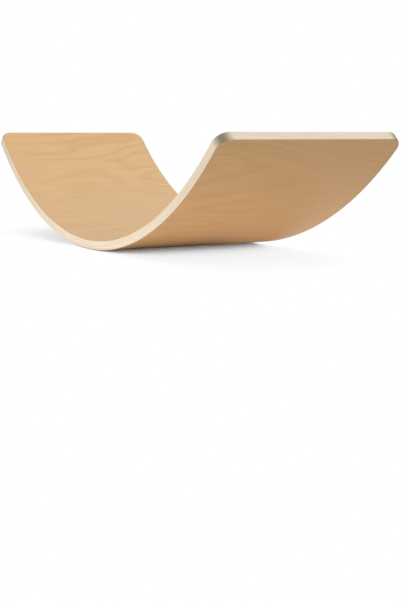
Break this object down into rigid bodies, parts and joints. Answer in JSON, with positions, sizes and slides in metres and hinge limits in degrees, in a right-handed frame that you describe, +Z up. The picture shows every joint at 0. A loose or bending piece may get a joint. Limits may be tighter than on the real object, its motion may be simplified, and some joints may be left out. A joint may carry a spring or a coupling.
{
  "type": "curvy balance board",
  "caption": "Curved balance board of moulded plywood: bent veneers glued into one arc with rounded corners and eased edges, used hollow side up as a rocker or turned over as a bridge.",
  "frame": {"origin": "lowest point of the belly, at the middle of the board's length and width, where the rocker touches the floor", "axes": "+X along the board, +Y across it along the bend axis, +Z up, with the hollow side up"},
  "size_m": [0.82, 0.29, 0.1822],
  "materials": {
    "beech_face": "clear satin lacquer over beech veneer",
    "core_grain_along": "sanded and lacquered edge of a core ply whose grain runs along the board",
    "core_grain_across": "sanded and lacquered edge of a core ply whose grain runs across the board"
  },
  "bodies": {
    "root": {"underside_face_veneer": "beech_face", "core_ply_1": "core_grain_along", "core_ply_2": "core_grain_across", "core_ply_3": "core_grain_along", "core_ply_4": "core_grain_across", "core_ply_5": "core_grain_along", "core_ply_6": "core_grain_across", "core_ply_7": "core_grain_along", "core_ply_8": "core_grain_across", "core_ply_9": "core_grain_along", "top_face_veneer": "beech_face"}
  },
  "joints": []
}
